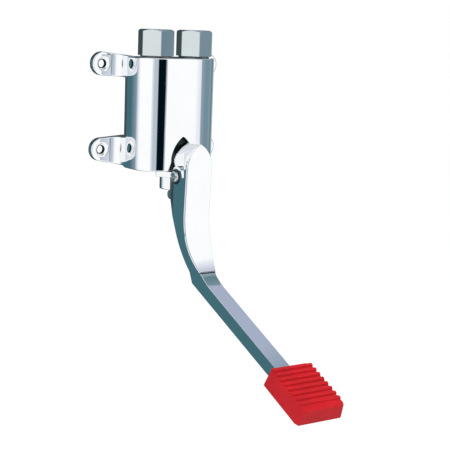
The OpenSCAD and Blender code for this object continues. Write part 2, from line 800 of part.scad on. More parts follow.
// Full width of the lever below the pin, with the face plate and the round cheeks above it
module shank() {
    difference() {
        intersection() {
            front_extrude(cheek_back, bar_start.x) face_front(face_w / 2, face_top, bend.y);
            side_extrude(-face_w / 2, face_w / 2) lever_side(tongue_t);
            plan_extrude(bend.y, face_top) cheek_plan();
        }
        side_extrude(-face_w, face_w) difference() {
            translate([cheek_back - cut, pivot_z])
                square([plate_back - cheek_back + cut, face_rise + cut]);
            translate(pivot) circle(r = cheek_r);
        }
    }
}

// Bar from the shank to the toe plate, under which it tapers out as a keel
module bar() {
    top = -tongue_t * bar_up;
    intersection() {
        side_extrude(-bar_w / 2, bar_w / 2) lever_side(tongue_t);
        front_extrude(cheek_back, bar_start.x) translate([-bar_w, bend.y - bar_t])
            square([2 * bar_w, taper_z - bend.y + bar_t]);
    }
    side_extrude(-bar_w / 2, bar_w / 2) polygon([bar_start + top, bar_start + toe_end * bar_dir + top,
        bar_start + toe_end * bar_dir + toe_foot * bar_up, bar_start + keel_end * bar_dir + toe_foot * bar_up,
        bar_start + bar_l * bar_dir - bar_end_t * bar_up, bend]);
}

// Raised tongue over the face, ending in a small step above the bar
module tongue() {
    intersection() {
        front_extrude(plate_back, bar_start.x)
            face_front(face_w / 2 - tongue_inset, face_top - tongue_inset, tongue_end);
        side_extrude(-face_w / 2, face_w / 2) difference() {
            lever_side(0);
            lever_side(tongue_t + cut);
        }
    }
}

// Heel behind the shank, whose round nose lifts the plunger
module heel() {
    root = cheek_back + 3 * cut;
    side_extrude(-heel_w / 2, heel_w / 2) {
        translate(nose) circle(r = nose_r);
        polygon([nose + [0, nose_r], [root, nose.y + nose_r], [root, heel_z - nose_r], nose - [0, nose_r]]);
    }
}

// Places its children at the top of the bar, with -y along the bar
module along_bar() {
    translate([0, -bar_start.x, bar_start.y]) rotate([bar_slope, 0, 0]) children();
}

// Cast toe plate at the end of the bar, or the room for it in the pad
module toe_plate(gap) {
    along_bar() plan_extrude(toe_foot - gap, -tongue_t + gap)
        translate([-toe_w / 2 - gap, toe_start - gap]) square([toe_w + 2 * gap, toe_l + 2 * gap]);
}

module lever_arm() {
    color(chrome) difference() {
        union() {
            shank();
            intersection() {
                front_extrude(neck_back, plate_back + cut)
                    arch(neck_w / 2, pivot_z - lug_r, pivot_z + neck_spring, pivot_z + neck_rise);
                plan_extrude(pivot_z - lug_r, pivot_z + neck_rise) neck_plan();
            }
            bar();
            tongue();
            heel();
            toe_plate(0);
        }
        side_extrude(-slot_hw, slot_hw) slot_side();
        cross(pivot_d, pivot_z, pin_d / 2 + seat_gap, -face_w, face_w);
    }
}

// Side outline of the pad with its row of ribs, along and above the bar
module pad_side() {
    ribs = [for (k = [rib_count - 1:-1:0]) let (s = rib_start + k * rib_pitch)
        each [[s + rib_crest + rib_foot, pad_rise], [s + rib_crest, pad_rise + rib_h],
            [s + 2 * rib_foot, pad_rise + rib_h], [s, pad_rise]]];
    slab = [[bar_l, pad_rise], [bar_l, -pad_under], [pad_end, -pad_under], [pad_end, pad_rise]];
    polygon(concat(slab, ribs));
}

// Plan of the pad with cut corners, smaller ones at its front
module pad_plan() {
    hw = pad_w / 2;
    back_l = bar_l + pad_corner * 0.95;
    front_l = pad_end - pad_corner * 0.9;
    front_hw = hw - pad_corner / 2;
    polygon([[-hw + pad_corner, bar_l], [hw - pad_corner, bar_l], [hw, back_l], [hw, front_l],
        [front_hw, pad_end], [-front_hw, pad_end], [-hw, front_l], [-hw, back_l]]);
}

// Rubber pad stretched over the toe plate, open underneath for the keel
module foot_pad() {
    keel_hw = bar_w / 2 + pad_gap;
    color(red) difference() {
        along_bar() intersection() {
            side_extrude(-pad_w / 2, pad_w / 2) pad_side();
            plan_extrude(-pad_under - cut, pad_rise + rib_h + cut) pad_plan();
        }
        toe_plate(pad_gap);
        along_bar() plan_extrude(-pad_under - cut, -tongue_t + pad_gap)
            translate([-keel_hw, bar_l - cut]) square([2 * keel_hw, keel_end + moving_gap - bar_l + cut]);
    }
}

valve_body();
inlet_union();
outlet_union();
inlet_washer();
outlet_washer();
inlet_strainer();
seat_ring();
closing_spring();
disc_nut();
disc_holder();
valve_disc();
spindle();
spindle_seal();
bonnet();
bonnet_washer();
return_spring();
plunger_cap();
pivot_bush();
stop_buffer();
lever_arm();
pivot_pin();
pin_washers();
pin_clip();
foot_pad();
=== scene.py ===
import itertools
import math

import bmesh
import bpy
from mathutils import Matrix, Vector
from mathutils.bvhtree import BVHTree


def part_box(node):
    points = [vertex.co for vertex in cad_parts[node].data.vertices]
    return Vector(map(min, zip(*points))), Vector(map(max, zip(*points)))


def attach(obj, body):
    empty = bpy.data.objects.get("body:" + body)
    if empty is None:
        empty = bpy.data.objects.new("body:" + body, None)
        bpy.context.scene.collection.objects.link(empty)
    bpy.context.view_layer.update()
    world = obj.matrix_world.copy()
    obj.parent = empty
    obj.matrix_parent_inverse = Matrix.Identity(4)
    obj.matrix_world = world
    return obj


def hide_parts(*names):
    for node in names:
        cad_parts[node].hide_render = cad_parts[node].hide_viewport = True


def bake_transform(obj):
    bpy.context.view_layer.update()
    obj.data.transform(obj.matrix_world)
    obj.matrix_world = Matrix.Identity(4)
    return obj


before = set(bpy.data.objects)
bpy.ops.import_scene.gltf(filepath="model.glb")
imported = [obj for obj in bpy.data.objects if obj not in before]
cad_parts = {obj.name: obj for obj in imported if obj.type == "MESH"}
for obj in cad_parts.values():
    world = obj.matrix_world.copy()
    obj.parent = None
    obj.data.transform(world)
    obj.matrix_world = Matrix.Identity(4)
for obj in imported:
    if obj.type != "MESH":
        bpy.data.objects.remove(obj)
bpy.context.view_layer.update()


# Valve body
# One brass casting with two water ways, four countersunk wall ears and the pivot lug in its arch.
# It is ground, polished to a mirror and chrome plated, so its edges are soft and its faces bright.
def new_finish(name):
    material = bpy.data.materials.new(name)
    material.use_nodes = True
    return material, material.node_tree, material.node_tree.nodes["Principled BSDF"]


def grain(tree, scale, stretch=(1, 1, 1), detail=3.0):
    coords = tree.nodes.new("ShaderNodeTexCoord")
    mapping = tree.nodes.new("ShaderNodeMapping")
    mapping.inputs["Scale"].default_value = stretch
    tree.links.new(coords.outputs["Object"], mapping.inputs["Vector"])
    noise = tree.nodes.new("ShaderNodeTexNoise")
    noise.inputs["Scale"].default_value = scale
    noise.inputs["Detail"].default_value = detail
    tree.links.new(mapping.outputs["Vector"], noise.inputs["Vector"])
    return noise.outputs["Fac"]


def vary(tree, pattern, socket, low, high):
    ramp = tree.nodes.new("ShaderNodeValToRGB")
    for stop, place, value in zip(ramp.color_ramp.elements, (0.3, 0.7), (low, high)):
        stop.position = place
        stop.color = (*value, 1) if isinstance(value, tuple) else (value, value, value, 1)
    tree.links.new(pattern, ramp.inputs["Fac"])
    tree.links.new(ramp.outputs["Color"], socket)


def relief(tree, shader, height, strength, depth=0.0002):
    bump = tree.nodes.new("ShaderNodeBump")
    bump.inputs["Strength"].default_value = strength
    bump.inputs["Distance"].default_value = depth
    tree.links.new(height, bump.inputs["Height"])
    tree.links.new(bump.outputs["Normal"], shader.inputs["Normal"])


def chrome_plate(name, tint, shade, polish, buffing, skin):
    cloud_scale, line_scale, line_detail = 38.0, 260.0, 4.0
    brightest, dullest, wave, wave_depth = 0.7, 1.5, 0.025, 0.0004
    material, tree, shader = new_finish(name)
    shader.inputs["Metallic"].default_value = 1.0
    vary(tree, grain(tree, cloud_scale), shader.inputs["Base Color"], shade, tint)
    lines = grain(tree, line_scale, buffing, line_detail)
    vary(tree, lines, shader.inputs["Roughness"], polish * brightest, polish * dullest)
    relief(tree, shader, grain(tree, skin), wave, wave_depth)
    return material


def place_object(name, data):
    thing = bpy.data.objects.new(name, data)
    bpy.context.scene.collection.objects.link(thing)
    return thing


def settle(rough, name):
    bpy.context.view_layer.update()
    graph = bpy.context.evaluated_depsgraph_get()
    mesh = bpy.data.meshes.new_from_object(rough.evaluated_get(graph), depsgraph=graph)
    spare = rough.data
    bpy.data.objects.remove(rough)
    bpy.data.meshes.remove(spare)
    mesh.name = name
    return place_object(name, mesh)


# Sharp edges of the solid are rounded, apart from those that meet at a needle's angle.
# Points that the rounding throws off the solid are put back on its skin.
def soft_edged(node, name, width, segments=3, reshape=None, needle=0):
    merge, flat, sharp_from = 2e-6, math.radians(0.6), math.radians(26)
    most_proud, most_stray, facing_weight = 0.5, 1.2, 50
    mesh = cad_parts[node].data.copy()
    work = bmesh.new()
    work.from_mesh(mesh)
    bmesh.ops.remove_doubles(work, verts=work.verts, dist=merge)
    bmesh.ops.dissolve_limit(work, angle_limit=flat, verts=work.verts, edges=work.edges)
    bmesh.ops.recalc_face_normals(work, faces=work.faces)
    if reshape:
        reshape(work)
    weight = work.edges.layers.float.new("bevel_weight_edge")
    sharp = {rim for rim in work.edges if rim.calc_face_angle(0) > sharp_from}
    for rim in work.edges:
        rim.smooth = True
        rim[weight] = 1 if rim in sharp else 0
    for vert in work.verts:
        rims = [rim for rim in vert.link_edges if rim in sharp]
        for one, two in itertools.combinations(rims, 2):
            way, other_way = (rim.other_vert(vert).co - vert.co for rim in (one, two))
            if way.angle(other_way) < math.radians(needle):
                one[weight] = two[weight] = 0
                one.smooth = two.smooth = False
    skin = BVHTree.FromBMesh(work)
    work.to_mesh(mesh)
    work.free()
    mesh.materials.clear()
    for face in mesh.polygons:
        face.use_smooth = True
    rough = place_object(name + "_rough", mesh)
    edge = rough.modifiers.new("edge", "BEVEL")
    edge.width = width
    edge.segments = segments
    edge.limit_method = "WEIGHT"
    edge.miter_outer = "MITER_ARC"
    edge.use_clamp_overlap = False
    edge.loop_slide = False
    rounded = settle(rough, name + "_rounded")
    for vert in rounded.data.vertices:
        spot, normal, _, gap = skin.find_nearest(vert.co)
        if (vert.co - spot).dot(normal) > most_proud * width or gap > most_stray * width:
            vert.co = spot
    facing = rounded.modifiers.new("facing", "WEIGHTED_NORMAL")
    facing.mode = "FACE_AREA"
    facing.weight = facing_weight
    facing.keep_sharp = True
    return settle(rounded, name)


def coat_with(mesh, material):
    mesh.materials.clear()
    mesh.materials.append(material)


def finish_piece(piece, material, body, slot, *nodes):
    coat_with(piece.data, material)
    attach(piece, body)
    if nodes:
        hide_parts(*nodes)


def reckon(tree, operation, first, second=0.0):
    step = tree.nodes.new("ShaderNodeMath")
    step.operation = operation
    for socket, value in zip(step.inputs, (first, second)):
        if isinstance(value, float):
            socket.default_value = value
        else:
            tree.links.new(value, socket)
    return step.outputs["Value"]


def read_place(tree):
    coords = tree.nodes.new("ShaderNodeTexCoord")
    parts = tree.nodes.new("ShaderNodeSeparateXYZ")
    tree.links.new(coords.outputs["Object"], parts.inputs["Vector"])
    return parts.outputs


# Paints shade: where the mask is set, the chrome gets a near-black painted shade colour and a higher
# roughness.
def paint_shade_and_dull(tree, shade_and_dull):
    shader = tree.nodes["Principled BSDF"]
    for entry, shade_and_dull_value in (("Base Color", (0.03, 0.045, 0.05, 1)), ("Roughness", (0.42, 0.42, 0.42, 1))):
        coat = tree.nodes.new("ShaderNodeMix")
        coat.data_type = "RGBA"
        tree.links.new(shade_and_dull, coat.inputs["Factor"])
        tree.links.new(shader.inputs[entry].links[0].from_socket, coat.inputs["A"])
        coat.inputs["B"].default_value = shade_and_dull_value
        tree.links.new(coat.outputs["Result"], shader.inputs[entry])


mirror_tint, mirror_shade = (0.93, 0.945, 0.95), (0.90, 0.92, 0.93)
body_plate = chrome_plate("body chrome", mirror_tint, mirror_shade,
                          polish=0.018, buffing=(1, 1, 0.06), skin=30.0)

# The buffing wheel does not reach into the arch and the screw holes, so they are left rough; their
# near-black colour is painted shade.
hole_x, hole_z, hole_reach, arch_half = 0.0518, 0.0363, 0.0034, 0.0135
arch_low, arch_high, arch_front, arch_back = -0.0503, -0.012, -0.0531, -0.045
tree = body_plate.node_tree
at = read_place(tree)
aside = reckon(tree, "ABSOLUTE", at["X"])
from_x = reckon(tree, "SUBTRACT", aside, hole_x)
from_z = reckon(tree, "SUBTRACT", reckon(tree, "ABSOLUTE", at["Z"]), hole_z)
squares = [reckon(tree, "MULTIPLY", gap, gap) for gap in (from_x, from_z)]
from_hole = reckon(tree, "SQRT", reckon(tree, "ADD", *squares))
shade_and_dull = reckon(tree, "LESS_THAN", aside, arch_half)
for reading, low, high in (("Z", arch_low, arch_high), ("Y", arch_front, arch_back)):
    for test, limit in (("GREATER_THAN", low), ("LESS_THAN", high)):
        shade_and_dull = reckon(tree, "MULTIPLY", shade_and_dull, reckon(tree, test, at[reading], limit))
shade_and_dull = reckon(tree, "MAXIMUM", shade_and_dull, reckon(tree, "LESS_THAN", from_hole, hole_reach))
paint_shade_and_dull(tree, shade_and_dull)


# Grinding draws the flat sides in towards the front, so that they turn softly into the corners.
# Seams of the crowned front that run almost along the arch are closed first, to keep its edge clean.
def ease_sides(work):
    back, front, depth, inner, outer, cuts = 0.0225, 0.060, 0.0018, 0.029, 0.0355, 22
    crown_back, crown_half, flat_seam, sharp_rim, along_rim = -0.05, 0.02, 0.15, 0.6, 0.5
    middle, over_arch, snap = 0.002, 0.0015, 1e-6

    def cut_across(place, way):
        everything = work.verts[:] + work.edges[:] + work.faces[:]
        bmesh.ops.bisect_plane(work, geom=everything, dist=snap, plane_co=place, plane_no=way)

    crown = [vert.co for vert in work.verts if abs(vert.co.x) < middle and vert.co.y < crown_back]
    apex = max(spot.z for spot in crown if spot.z < 0)
    cut_across((0, 0, apex + over_arch), (0, 0, 1))
    seams = set()
    for seam in work.edges:
        if seam.calc_face_angle(math.pi) > flat_seam:
            continue
        for vert in seam.verts:
            if vert.co.y > crown_back or abs(vert.co.x) > crown_half:
                continue
            way = seam.other_vert(vert).co - vert.co
            for rim in vert.link_edges:
                rim_way = rim.other_vert(vert).co - vert.co
                if rim.calc_face_angle(0) > sharp_rim and way.angle(rim_way) < along_rim:
                    seams.add(seam)
    bmesh.ops.dissolve_edges(work, edges=list(seams), use_verts=False, use_face_split=False)
    for k in range(1, cuts):
        cut_across((0, -(back + (front - back) * k / cuts), 0), (0, 1, 0))
    for vert in work.verts:
        along = min(max((-vert.co.y - back) / (front - back), 0), 1)
        share = min(max((abs(vert.co.x) - inner) / (outer - inner), 0), 1)
        vert.co.x -= math.copysign(depth * share * along ** 2 * (3 - 2 * along), vert.co.x)


body_cast = soft_edged("valve_body", "body_casting", 0.001, reshape=ease_sides, needle=25)
finish_piece(body_cast, body_plate, "valve", "body_chrome", "valve_body")


# Pipe unions
# Two hexagon unions turned from brass bar and chrome plated, screwed into the top of the body.
# Each has a female pipe thread, and both are tightened on a flat sealing washer.
# The unions' chrome is painted darker and teal-grey than the body's: painted shade on the same
# plating.
shaded_union_plate = chrome_plate("union chrome", (0.64, 0.71, 0.715), (0.60, 0.67, 0.68),
                           polish=0.06, buffing=(1, 1, 0.3), skin=60.0)
for side in ("inlet", "outlet"):
    hexagon = soft_edged(side + "_union", side + "_hexagon", 0.00035)
    finish_piece(hexagon, shaded_union_plate, "valve", "fitting_chrome", side + "_union")


def shape_tree(name, *sizes):
    tree = bpy.data.node_groups.new(name, "GeometryNodeTree")
    tree.interface.new_socket("Geometry", in_out="OUTPUT", socket_type="NodeSocketGeometry")
    settings = {}
    for label, kind, value in sizes:
        socket = tree.interface.new_socket(label, in_out="INPUT", socket_type="NodeSocket" + kind)
        settings[socket.identifier] = value
    return tree, settings


def wire(tree, *runs):
    for source, outlet, target, inlet in runs:
        tree.links.new(source.outputs[outlet], target.inputs[inlet])


def close_tree(tree, source, outlet, material):
    realize = tree.nodes.new("GeometryNodeRealizeInstances")
    coat = tree.nodes.new("GeometryNodeSetMaterial")
    coat.inputs["Material"].default_value = material
    wire(tree, (source, outlet, realize, "Geometry"), (realize, "Geometry", coat, "Geometry"),
         (coat, "Geometry", tree.nodes.new("NodeGroupOutput"), "Geometry"))


def grow(name, tree, settings):
    rough = place_object(name + "_rough", bpy.data.meshes.new(name + "_rough"))
    maker = rough.modifiers.new("maker", "NODES")
    maker.node_group = tree
    for identifier, value in settings.items():
        maker[identifier] = value
    return settle(rough, name)


thread_below_top, thread_steps, ridge_sides = 0.0143, 40, 4
thread_tree, thread_settings = shape_tree(
    "pipe thread", ("Radius", "Float", 0.0093), ("Length", "Float", 0.0135),
    ("Turns", "Float", 7.4), ("Ridge", "Float", 0.0005))
thread_in = thread_tree.nodes.new("NodeGroupInput")
spiral = thread_tree.nodes.new("GeometryNodeCurveSpiral")
spiral.inputs["Resolution"].default_value = thread_steps
ridge = thread_tree.nodes.new("GeometryNodeCurvePrimitiveCircle")
ridge.inputs["Resolution"].default_value = ridge_sides
sweep = thread_tree.nodes.new("GeometryNodeCurveToMesh")
sweep.inputs["Fill Caps"].default_value = True
wire(thread_tree, (thread_in, "Radius", spiral, "Start Radius"),
     (thread_in, "Radius", spiral, "End Radius"), (thread_in, "Length", spiral, "Height"),
     (thread_in, "Turns", spiral, "Rotations"), (thread_in, "Ridge", ridge, "Radius"),
     (spiral, "Curve", sweep, "Curve"), (ridge, "Curve", sweep, "Profile Curve"))
close_tree(thread_tree, sweep, "Mesh", shaded_union_plate)
for side in ("inlet", "outlet"):
    low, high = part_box(side + "_union")
    foot = ((low.x + high.x) / 2, (low.y + high.y) / 2, high.z - thread_below_top)
    thread = grow(side + "_thread", thread_tree, thread_settings)
    thread.data.transform(Matrix.Translation(foot))
    finish_piece(thread, shaded_union_plate, "valve", "fitting_chrome")


# Sealing washers
# Flat rings of pressed fibre, two under the unions and one between the bonnet and the body.
# They are punched from sheet and stay a dull grey.
def plain_finish(name, scale, stretch, detail, tones, roughness, bump=0.0, metal=0.0):
    material, tree, shader = new_finish(name)
    shader.inputs["Metallic"].default_value = metal
    pattern = grain(tree, scale, stretch, detail)
    vary(tree, pattern, shader.inputs["Base Color"], *tones)
    if isinstance(roughness, tuple):
        vary(tree, pattern, shader.inputs["Roughness"], *roughness)
    else:
        shader.inputs["Roughness"].default_value = roughness
    if bump:
        relief(tree, shader, pattern, bump)
    return material


fibre = plain_finish("pressed fibre", scale=900.0, stretch=(1, 1, 3), detail=6.0,
                     tones=((0.085, 0.092, 0.098), (0.16, 0.17, 0.18)), roughness=0.85, bump=0.3)
for node in ("inlet_washer", "outlet_washer", "bonnet_washer"):
    coat_with(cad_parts[node].data, fibre)


# Valve insert
# The seat ring, disc holder, nut and spindle are turned from brass and stay unplated in the body.
# The strainer and springs are stainless steel, and the disc, O-ring and stop button are rubber.
brass = plain_finish("turned brass", scale=300.0, stretch=(0.15, 0.15, 6), detail=4.0,
                     tones=((0.66, 0.48, 0.20), (0.80, 0.64, 0.34)), roughness=(0.18, 0.34),
                     bump=0.08, metal=1.0)
for node in ("seat_ring", "disc_nut", "disc_holder", "spindle"):
    coat_with(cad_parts[node].data, brass)

stainless = plain_finish("stainless steel", scale=420.0, stretch=(1, 1, 4), detail=5.0,
                         tones=((0.50, 0.51, 0.53), (0.68, 0.69, 0.71)), roughness=(0.2, 0.38),
                         bump=0.06, metal=1.0)
coat_with(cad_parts["inlet_strainer"].data, stainless)

# The springs stand on the fixed valve at the top and shorten as the spindle lifts their lower ends;
# here each is only a stainless copy of its part as modelled.
for node, name in (("closing_spring", "closing_coil"), ("return_spring", "return_coil")):
    low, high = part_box(node)
    coil = place_object(name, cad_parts[node].data.copy())
    coat_with(coil.data, stainless)
    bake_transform(coil)
    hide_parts(node)

seal_rubber = plain_finish("black rubber", scale=240.0, stretch=(1, 1, 1), detail=5.0,
                           tones=((0.012, 0.012, 0.013), (0.035, 0.035, 0.037)),
                           roughness=(0.5, 0.75), bump=0.15)
for node in ("valve_disc", "spindle_seal", "stop_buffer"):
    coat_with(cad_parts[node].data, seal_rubber)


# Bonnet and plunger cap
# The bonnet is a chrome plated hexagon screwed into the bottom of the body and guides the spindle.
# The plunger cap is a turned and plated thimble on the spindle's end, pushed by the lever's heel.
cap_plate = chrome_plate("cap chrome", (0.90, 0.915, 0.92), (0.86, 0.88, 0.89),
                         polish=0.05, buffing=(1, 1, 0.3), skin=60.0)
bonnet_hex = soft_edged("bonnet", "bonnet_hexagon", 0.0004)
finish_piece(bonnet_hex, cap_plate, "valve", "fitting_chrome", "bonnet")
cap_shell = soft_edged("plunger_cap", "cap_shell", 0.0003, segments=2)
finish_piece(cap_shell, cap_plate, "plunger", "fitting_chrome", "plunger_cap")


# Pedal lever
# A second polished casting: the forked head hangs on the pin, the face curves into a square bar,
# and the toe plate at its end is hidden in the pad. It is plated like the body.
lever_plate = chrome_plate("lever chrome", mirror_tint, mirror_shade,
                           polish=0.04, buffing=(1, 0.06, 0.06), skin=26.0)

# The wheel leaves the low step at the end of the tongue, between the tongue and the bar, rough; its
# near-black line is painted shade.
step_y, step_z, step_half, step_slope = -0.0983, -0.1294, 0.0085, math.radians(43.8)
step_long, step_high = 0.0006, 0.0012
down = (-math.cos(step_slope), -math.sin(step_slope))
up = (-math.sin(step_slope), math.cos(step_slope))
tree = lever_plate.node_tree
at = read_place(tree)
shade_and_dull = reckon(tree, "LESS_THAN", reckon(tree, "ABSOLUTE", at["X"]), step_half)
for (way_y, way_z), reach in ((down, step_long), (up, step_high)):
    far = reckon(tree, "ADD", reckon(tree, "MULTIPLY", at["Y"], way_y),
                 reckon(tree, "MULTIPLY", at["Z"], way_z))
    far = reckon(tree, "SUBTRACT", far, step_y * way_y + step_z * way_z)
    within = reckon(tree, "LESS_THAN", reckon(tree, "ABSOLUTE", far), reach)
    shade_and_dull = reckon(tree, "MULTIPLY", shade_and_dull, within)
paint_shade_and_dull(tree, shade_and_dull)
lever_cast = soft_edged("lever_arm", "lever_casting", 0.0003)
finish_piece(lever_cast, lever_plate, "pedal", "lever_chrome", "lever_arm")
# The polished body mirrors the studio alone, so the lever and what it carries stay out of mirrors.
lever_cast.visible_glossy = False


# Pivot fittings
# The headed pin is turned steel, its two flat washers are painted near-black as shade and the spring
# clip is stainless.
# They turn with the lever, and the bush in the lug is a plain plastic sleeve.
pin_steel = plain_finish("turned steel", scale=380.0, stretch=(5, 0.3, 0.3), detail=4.0,
                         tones=((0.52, 0.54, 0.56), (0.70, 0.72, 0.74)), roughness=(0.14, 0.3),
                         bump=0.06, metal=1.0)
pin = soft_edged("pivot_pin", "pin_turned", 0.0003, segments=2)
finish_piece(pin, pin_steel, "pedal", "pin_steel", "pivot_pin")
pin.visible_glossy = False

# The washers' near-black tone is painted shade round the pin head.
shade_painted_steel = plain_finish("shade-painted steel", scale=380.0, stretch=(5, 1, 1), detail=4.0,
                           tones=((0.03, 0.045, 0.05), (0.08, 0.10, 0.11)), roughness=(0.22, 0.4),
                           bump=0.06, metal=1.0)
pin_rings = soft_edged("pin_washers", "washer_pair", 0.00022, segments=2)
finish_piece(pin_rings, shade_painted_steel, "pedal", "pin_steel", "pin_washers")
pin_rings.visible_glossy = False
coat_with(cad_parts["pin_clip"].data, stainless)

acetal = plain_finish("acetal", scale=180.0, stretch=(1, 1, 1), detail=3.0,
                      tones=((0.66, 0.64, 0.56), (0.76, 0.74, 0.66)), roughness=(0.35, 0.5))
coat_with(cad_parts["pivot_bush"].data, acetal)


# Foot pad
# A moulded red rubber pad stretched over the toe plate, with lips under it and a slot for the bar.
# Straight ribs across its top give grip; their ends stand out along the side.
pad_foot = Vector((0, -0.114062, -0.139050))
pad_slope = math.radians(24.25)
pad_start, pad_end, pad_half = 0.107, 0.1568, 0.0203
pad_top, pad_low, pad_corner = 0.0054, -0.0082, 0.0034
pad_draft, pad_round, pad_round_steps, pad_crease = 0.06, 0.0009, 4, math.radians(40)
place_pad = Matrix.Translation(pad_foot) @ Matrix.Rotation(pad_slope, 4, "X")

red_rubber = plain_finish("red rubber", scale=70.0, stretch=(1, 1, 1), detail=5.0,
                          tones=((0.54, 0.008, 0.014), (0.68, 0.011, 0.019)),
                          roughness=(0.42, 0.58))
tree = red_rubber.node_tree
shader = tree.nodes["Principled BSDF"]
shader.inputs["Specular IOR Level"].default_value = 0.2
pore_scale, pore_detail, pore_bump = 1400.0, 2.0, 0.12
relief(tree, shader, grain(tree, pore_scale, detail=pore_detail), pore_bump)


def closed_between(base, lid):
    work = bmesh.new()
    base, lid = ([work.verts.new(spot) for spot in ring] for ring in (base, lid))
    work.faces.new(base)
    work.faces.new(lid)
    for k in range(len(base)):
        n = (k + 1) % len(base)
        work.faces.new((base[k], base[n], lid[n], lid[k]))
    bmesh.ops.recalc_face_normals(work, faces=work.faces)
    return work


def solid_from(work, name):
    mesh = bpy.data.meshes.new(name)
    work.to_mesh(mesh)
    work.free()
    return place_object(name, mesh)


def prism(name, points, low, high, draft=0.0):
    base = [(x * (1 + draft), -s, low) for x, s in points]
    lid = [(x * (1 - draft), -s, high) for x, s in points]
    return solid_from(closed_between(base, lid), name)


def box_prism(name, half, near, far, low, high):
    return prism(name, [(-half, near), (half, near), (half, far), (-half, far)], low, high)


back_s, front_s = pad_start + pad_corner * 0.95, pad_end - pad_corner * 0.9
back_half, front_half = pad_half - pad_corner, pad_half - pad_corner / 2
outline = [(-back_half, pad_start), (back_half, pad_start), (pad_half, back_s), (pad_half, front_s),
           (front_half, pad_end), (-front_half, pad_end), (-pad_half, front_s), (-pad_half, back_s)]
slab = prism("pad_slab_rough", outline, pad_low, pad_top, pad_draft)
rounding = slab.modifiers.new("edge", "BEVEL")
rounding.width = pad_round
rounding.segments = pad_round_steps
rounding.limit_method = "ANGLE"
pockets = [box_prism("toe_room", half=0.0146, near=0.1133, far=0.1505, low=-0.0054, high=-0.0012),
           box_prism("keel_room", half=0.0071, near=0.1, far=0.14275, low=-0.012, high=-0.0012)]
for pocket in pockets:
    carve = slab.modifiers.new("room", "BOOLEAN")
    carve.operation = "DIFFERENCE"
    carve.solver = "EXACT"
    carve.object = pocket
pad_slab = settle(slab, "pad_slab")
for pocket in pockets:
    spare = pocket.data
    bpy.data.objects.remove(pocket)
    bpy.data.meshes.remove(spare)
pad_slab.data.transform(place_pad)
pad_slab.data.set_sharp_from_angle(angle=pad_crease)
for face in pad_slab.data.polygons:
    face.use_smooth = True
finish_piece(pad_slab, red_rubber, "pedal", "red_rubber", "foot_pad")
pad_slab.visible_glossy = False

rib_count, first_rib, rib_pitch, rib_lean = 8, 0.10898, 0.00545, 0.18
rib_round, rib_round_steps, rib_sharp, rib_inset = 0.0003, 2, 1.2, 0.0002
rib_half = pad_half * (1 - pad_draft) - rib_inset
section = [(0.0, -0.0006), (0.0, 0.0), (0.0006, 0.0015), (0.0011, 0.0019),
           (0.0026, 0.0019), (0.0031, 0.0015), (0.0034, 0.0), (0.0034, -0.0006)]
work = closed_between(*([(side * (rib_half - n * rib_lean), -s, n) for s, n in section]
                        for side in (-1, 1)))
rib_edges = [edge for edge in work.edges if edge.calc_face_angle(0) > rib_sharp]
bmesh.ops.bevel(work, geom=rib_edges, offset=rib_round, segments=rib_round_steps, affect="EDGES")
rib = solid_from(work, "rib_section")

rib_tree, rib_settings = shape_tree(
    "pad ribs", ("Count", "Int", rib_count), ("First", "Vector", (0.0, -first_rib, pad_top)),
    ("Pitch", "Vector", (0.0, -rib_pitch, 0.0)), ("Rib", "Object", rib))
rib_in = rib_tree.nodes.new("NodeGroupInput")
row = rib_tree.nodes.new("GeometryNodeMeshLine")
row.mode = "OFFSET"
shape = rib_tree.nodes.new("GeometryNodeObjectInfo")
copies = rib_tree.nodes.new("GeometryNodeInstanceOnPoints")
wire(rib_tree, (rib_in, "Count", row, "Count"), (rib_in, "First", row, "Start Location"),
     (rib_in, "Pitch", row, "Offset"), (rib_in, "Rib", shape, "Object"),
     (row, "Mesh", copies, "Points"), (shape, "Geometry", copies, "Instance"))
close_tree(rib_tree, copies, "Instances", red_rubber)
pad_ribs = grow("pad_ribs", rib_tree, rib_settings)
bpy.data.objects.remove(rib)
pad_ribs.data.transform(place_pad)
finish_piece(pad_ribs, red_rubber, "pedal", "red_rubber")
pad_ribs.visible_glossy = False


# Studio
# Three rings of light and dark panels stand round about the valve and give the chrome its bands.
# Under them lies a white floor, and two soft boxes light the whole; the camera sees only the floor.
def stage_mesh(name, points, faces, shown):
    mesh = bpy.data.meshes.new(name)
    mesh.from_pydata(points, [], faces)
    plain = place_object(name, mesh)
    plain.visible_camera = shown
    plain.visible_diffuse = shown
    plain.visible_shadow = shown
    plain.visible_glossy = not shown
    material, tree, shader = new_finish(name)
    mesh.materials.append(material)
    return tree, shader


dome_r, dome_cols, dome_rows, dome_foot, dome_span = 1.5, 72, 24, -75, 165
points = []
for row in range(dome_rows):
    rise = math.radians(dome_foot + dome_span * row / dome_rows)
    reach, height = dome_r * math.cos(rise), dome_r * math.sin(rise)
    for col in range(dome_cols):
        turn = math.tau * col / dome_cols
        points.append((reach * math.cos(turn), reach * math.sin(turn), height))
points.append((0, 0, dome_r))
top = len(points) - 1
faces = []
for row in range(dome_rows):
    for col in range(dome_cols):
        near, far = row * dome_cols + col, row * dome_cols + (col + 1) % dome_cols
        if row < dome_rows - 1:
            faces.append((near, far, far + dome_cols, near + dome_cols))
        else:
            faces.append((near, far, top))
tree, shader = stage_mesh("panels", points, faces, False)

